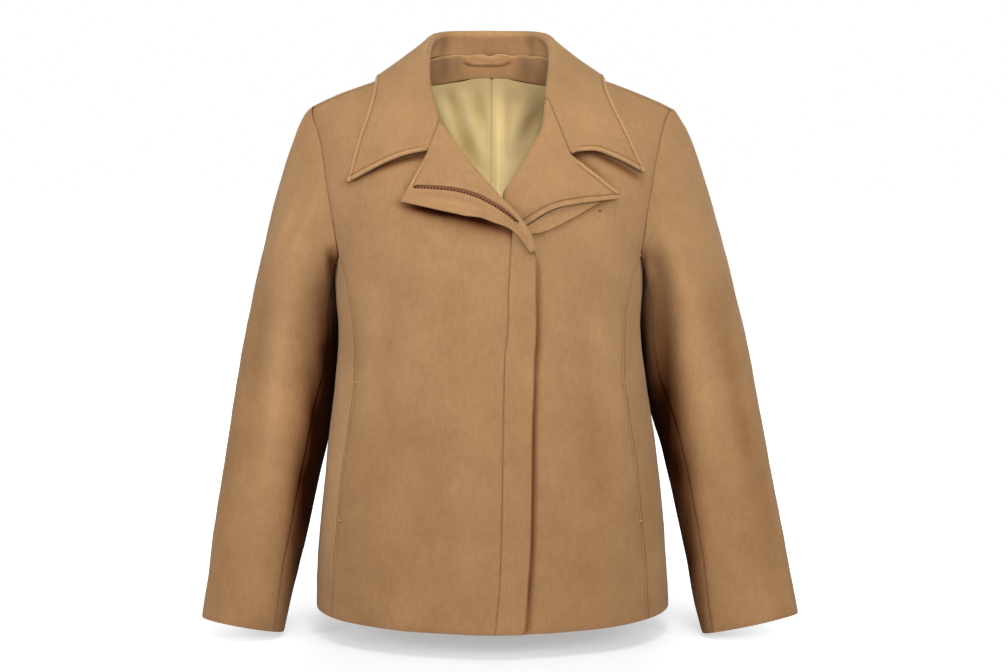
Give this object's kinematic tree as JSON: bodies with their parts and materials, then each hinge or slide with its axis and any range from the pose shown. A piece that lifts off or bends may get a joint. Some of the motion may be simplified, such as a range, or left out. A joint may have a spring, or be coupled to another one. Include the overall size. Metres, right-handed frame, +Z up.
{
  "type": "overcoat",
  "caption": "Short hip-length wool coat, filled out as if worn but empty, with a wide collar, notched lapels, a hidden front fastening and two-piece sleeves.",
  "frame": {"origin": "the middle of the neck, level with the seam that sews the collar on at the nape", "axes": "+X the wearer's left, -Y the front of the coat, +Z up towards the collar"},
  "size_m": [0.6944, 0.2821, 0.6993],
  "materials": {
    "wool": "camel wool with a short brushed nap, matt",
    "satin": "pale gold satin lining with a soft shine",
    "tape": "dark reddish-brown zip tape, matt"
  },
  "bodies": {
    "root": {"front_right": "wool", "front_left": "wool", "front_placket_right": "wool", "side_front_right": "wool", "side_front_left": "wool", "back_right": "wool", "back_left": "wool", "lapel_right": "wool", "lapel_fly_right": "wool", "lapel_left": "wool", "zip_edge_left": "wool", "zip_tape_right": "tape", "fly_guard_left": "wool", "collar": "wool", "top_sleeve_right": "wool", "top_sleeve_left": "wool", "under_sleeve_right": "wool", "under_sleeve_left": "wool", "neck_facing_back": "wool", "lining_back_right": "satin", "lining_back_left": "satin", "hanger_loop": "wool"}
  },
  "joints": []
}
